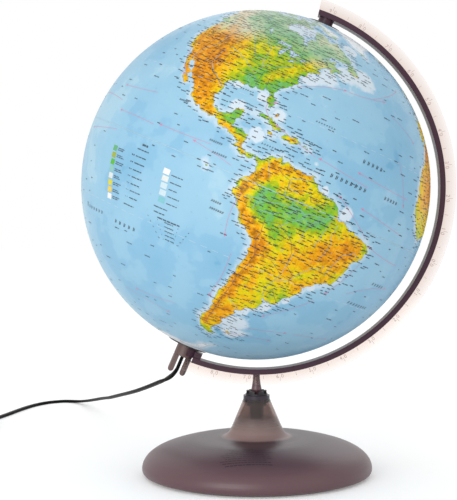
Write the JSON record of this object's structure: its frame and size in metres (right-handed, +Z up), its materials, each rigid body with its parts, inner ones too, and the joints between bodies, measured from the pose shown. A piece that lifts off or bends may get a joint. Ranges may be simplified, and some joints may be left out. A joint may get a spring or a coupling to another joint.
{
  "type": "desktop globe on stand",
  "caption": "Illuminated desktop globe: hollow map ball on a tilted axis in an open meridian arc, swivelling on a round domed foot, with a mains lead, switch and plug.",
  "frame": {"origin": "centre of the round foot on the table, on the stem's axis", "axes": "+Z up, +X to the side the meridian arc and the tilted north pole lean to, the open front of the ball and the degree scale face -Y"},
  "size_m": [0.5452, 0.5707, 0.4104],
  "materials": {
    "smoky_plastic": "smoky translucent brown moulding, satin",
    "rubber": "matt non-slip ring",
    "violet_plastic": "dark violet moulding",
    "black_plastic": "black moulding",
    "steel": "plated steel",
    "map_skin": "printed physical map under clear lacquer, lit from inside",
    "white_plastic": "white moulding",
    "lampholder_plastic": "dark heat-resistant moulding",
    "brass": "bare brass",
    "copper": "bare copper",
    "brown_plastic": "smoky brown moulding",
    "bulb_opal": "opal diffuser",
    "cord_pvc": "black flexible PVC",
    "rocker_plastic": "black rocker with a white mark"
  },
  "bodies": {
    "base": {"base_shell": "smoky_plastic", "foot_ring": "rubber", "socket_tube": "violet_plastic", "socket_nut": "violet_plastic", "socket_crown": "black_plastic"},
    "meridian": {"meridian_arc": "smoky_plastic", "stem": "smoky_plastic", "north_pin": "steel", "lampholder_body": "lampholder_plastic", "screw_shell": "brass", "centre_contact": "brass", "core_wires": "copper", "cord_grip": "black_plastic", "bulb_cap": "steel", "bulb_tip": "black_plastic", "bulb_housing": "white_plastic", "bulb_dome": "bulb_opal", "cord_lead": "cord_pvc", "cord_mid": "cord_pvc", "cord_coil": "cord_pvc", "cord_tail": "cord_pvc", "coil_tie": "black_plastic", "switch_base": "black_plastic", "switch_cover": "black_plastic", "switch_screws": "steel", "plug_body": "cord_pvc", "plug_pins": "steel"},
    "ball": {"north_hemisphere": "map_skin", "south_hemisphere": "map_skin", "equator_ring": "white_plastic", "north_bushing": "black_plastic", "pole_disc": "black_plastic", "south_bushing": "black_plastic"},
    "tab_left": {"release_tab_left": "brown_plastic"},
    "tab_right": {"release_tab_right": "brown_plastic"},
    "rocker": {"switch_rocker": "rocker_plastic"}
  },
  "joints": [
    {"name": "stem_swivel", "type": "hinge", "parent": "base", "child": "meridian", "pos_m": [0, 0, 0.06], "axis": [0, 0, 1], "range_deg": [-90, 90]},
    {"name": "globe_spin", "type": "hinge", "parent": "meridian", "child": "ball", "pos_m": [0, 0, 0.251], "axis": [0.3987, 0, 0.9171], "continuous": true},
    {"name": "tab_left_press", "type": "hinge", "parent": "meridian", "child": "tab_left", "pos_m": [-0.06902, 0, 0.10632], "axis": [0, -1, 0], "range_deg": [0, 3], "stiffness_Nm_per_rad": 1.5},
    {"name": "tab_right_press", "type": "hinge", "parent": "meridian", "child": "tab_right", "pos_m": [-0.05874, 0, 0.10185], "axis": [0, 1, 0], "range_deg": [0, 3], "stiffness_Nm_per_rad": 1.5},
    {"name": "switch_rock", "type": "hinge", "parent": "meridian", "child": "rocker", "pos_m": [-0.298, 0.228, 0.011], "axis": [-0.9796, 0.2011, 0], "range_deg": [0, 16]}
  ]
}
